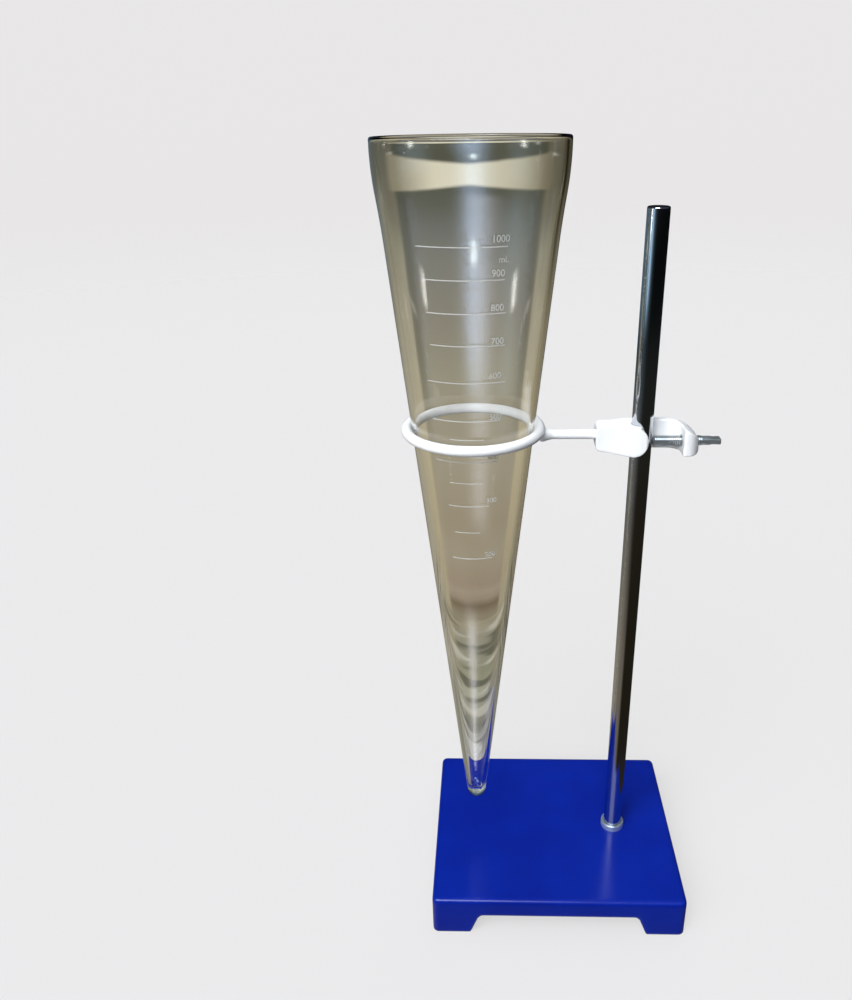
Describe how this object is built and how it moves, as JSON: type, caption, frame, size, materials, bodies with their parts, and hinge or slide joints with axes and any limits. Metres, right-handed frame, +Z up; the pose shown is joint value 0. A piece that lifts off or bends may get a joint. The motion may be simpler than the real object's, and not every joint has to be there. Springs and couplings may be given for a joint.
{
  "type": "settling cone on ring stand",
  "caption": "Tall graduated glass settling cone hung point down in a hoop that slides on an upright rod, with a screw clamp and a footed base plate.",
  "frame": {"origin": "on the surface the feet rest on, under the middle of the assembly's bounding box", "axes": "+Z up along the rod and the cone, +X from the cone to the rod, -Y the graduated front"},
  "size_m": [0.2073, 0.1462, 0.5198],
  "materials": {
    "blue_enamel": "deep blue gloss enamel over a casting",
    "chrome_bar": "polished chromed steel bar",
    "bright_zinc": "bright zinc plated",
    "white_coating": "white epoxy coating",
    "chrome_screw": "nickel chromed screw",
    "clear_glass": "clear borosilicate glass with fired white graduations"
  },
  "bodies": {
    "base": {"base_plate": "blue_enamel"},
    "rod": {"support_rod": "chrome_bar", "foot_collar": "bright_zinc", "plain_washer": "bright_zinc", "lock_washer": "bright_zinc", "rod_nut": "bright_zinc"},
    "clamp": {"boss_head": "white_coating", "ring_arm": "white_coating", "support_ring": "white_coating"},
    "screw": {"clamp_screw": "chrome_screw"},
    "thumb": {"thumb_piece": "chrome_screw"},
    "cone": {"settling_cone": "clear_glass"}
  },
  "joints": [
    {"name": "clamp_swivel", "type": "hinge", "parent": "base", "child": "rod", "pos_m": [0.0553, 0, 0.0305], "axis": [0, 0, 1], "continuous": true},
    {"name": "clamp_height", "type": "slide", "parent": "rod", "child": "clamp", "axis": [0, 0, 1], "range_m": [-0.0275, 0.115]},
    {"name": "screw_feed", "type": "slide", "parent": "clamp", "child": "screw", "axis": [1, 0, 0], "range_m": [0, 0.0114]},
    {"name": "screw_turn", "type": "hinge", "parent": "screw", "child": "thumb", "pos_m": [0.0953, 0, 0.3449], "axis": [1, 0, 0], "range_deg": [0, 3240]},
    {"name": "cone_lift", "type": "slide", "parent": "clamp", "child": "cone", "axis": [0, 0, 1], "range_m": [0, 0.3]}
  ],
  "couplings": [
    {"joint": "screw_turn", "follows": "screw_feed", "rad_per_m": 4947.4}
  ]
}
